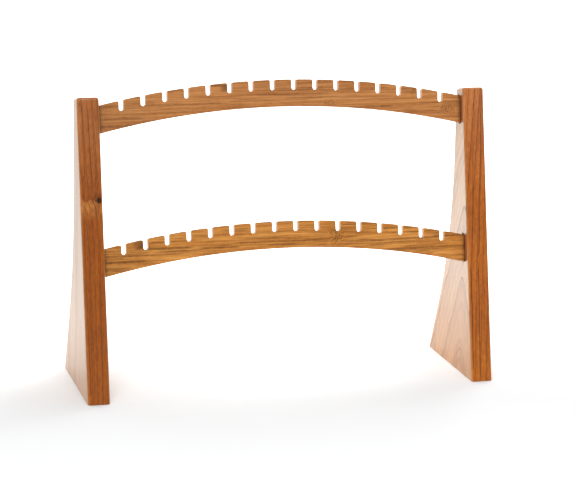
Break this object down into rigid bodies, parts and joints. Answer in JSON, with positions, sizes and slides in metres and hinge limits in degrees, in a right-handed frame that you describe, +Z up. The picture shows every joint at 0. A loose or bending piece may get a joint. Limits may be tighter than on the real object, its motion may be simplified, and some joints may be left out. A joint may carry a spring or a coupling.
{
  "type": "slotted hanging rack",
  "caption": "Free-standing two-tier hanging rack: two leaning tapered wood uprights joined by arched wood rails with a comb of round-bottomed slots along their top edges.",
  "frame": {"origin": "centre of the footprint, on the floor plane that the uprights stand on", "axes": "+X along the rails, from the left upright to the right one as seen from the front; +Y from front to back, the way the uprights lean; +Z up"},
  "size_m": [0.3708, 0.123, 0.2707],
  "materials": {
    "cherry": "clear satin oil, straight vertical grain",
    "bamboo_upper": "clear satin oil, fine lengthwise fibres, caramel",
    "bamboo_lower": "clear satin oil, fine lengthwise fibres, streaked golden caramel"
  },
  "bodies": {
    "root": {"left_upright": "cherry", "right_upright": "cherry", "upper_rail": "bamboo_upper", "lower_rail": "bamboo_lower"}
  },
  "joints": []
}
